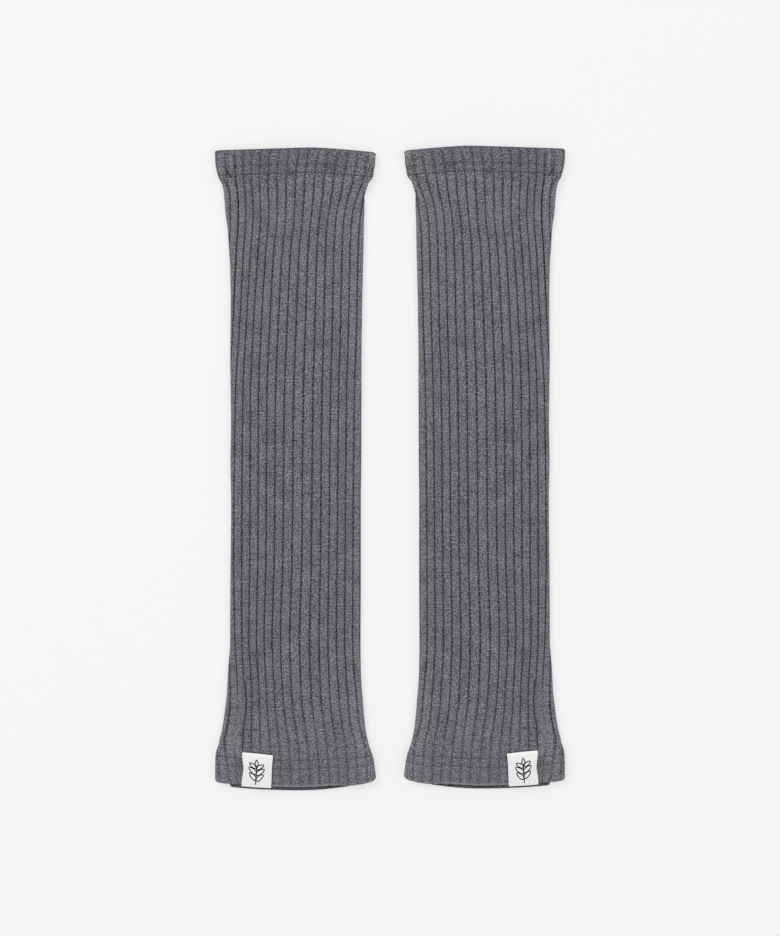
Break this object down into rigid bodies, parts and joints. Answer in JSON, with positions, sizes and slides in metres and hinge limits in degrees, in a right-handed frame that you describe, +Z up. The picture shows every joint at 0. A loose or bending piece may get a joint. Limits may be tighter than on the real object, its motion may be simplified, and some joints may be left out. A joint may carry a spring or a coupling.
{
  "type": "pair of leg warmers",
  "caption": "Rib-knit leg warmers laid flat side by side: open tubes with turned, stitched hems at both ends and a small sewn label on the lower hem.",
  "frame": {"origin": "on the surface that the pair lies on, at the middle of the pair's box", "axes": "+Y from the lower hems, which carry the labels, to the upper hems; +X across the pair; +Z up, away from the surface"},
  "size_m": [0.2346, 0.432, 0.0073],
  "materials": {
    "rib_knit": "soft matte slate-grey melange rib knit",
    "label_cotton": "matte off-white woven cotton with a small black line motif"
  },
  "bodies": {
    "root": {"left_tube": "rib_knit", "left_upper_hem": "rib_knit", "left_lower_hem": "rib_knit", "left_label": "label_cotton", "right_tube": "rib_knit", "right_upper_hem": "rib_knit", "right_lower_hem": "rib_knit", "right_label": "label_cotton"}
  },
  "joints": []
}
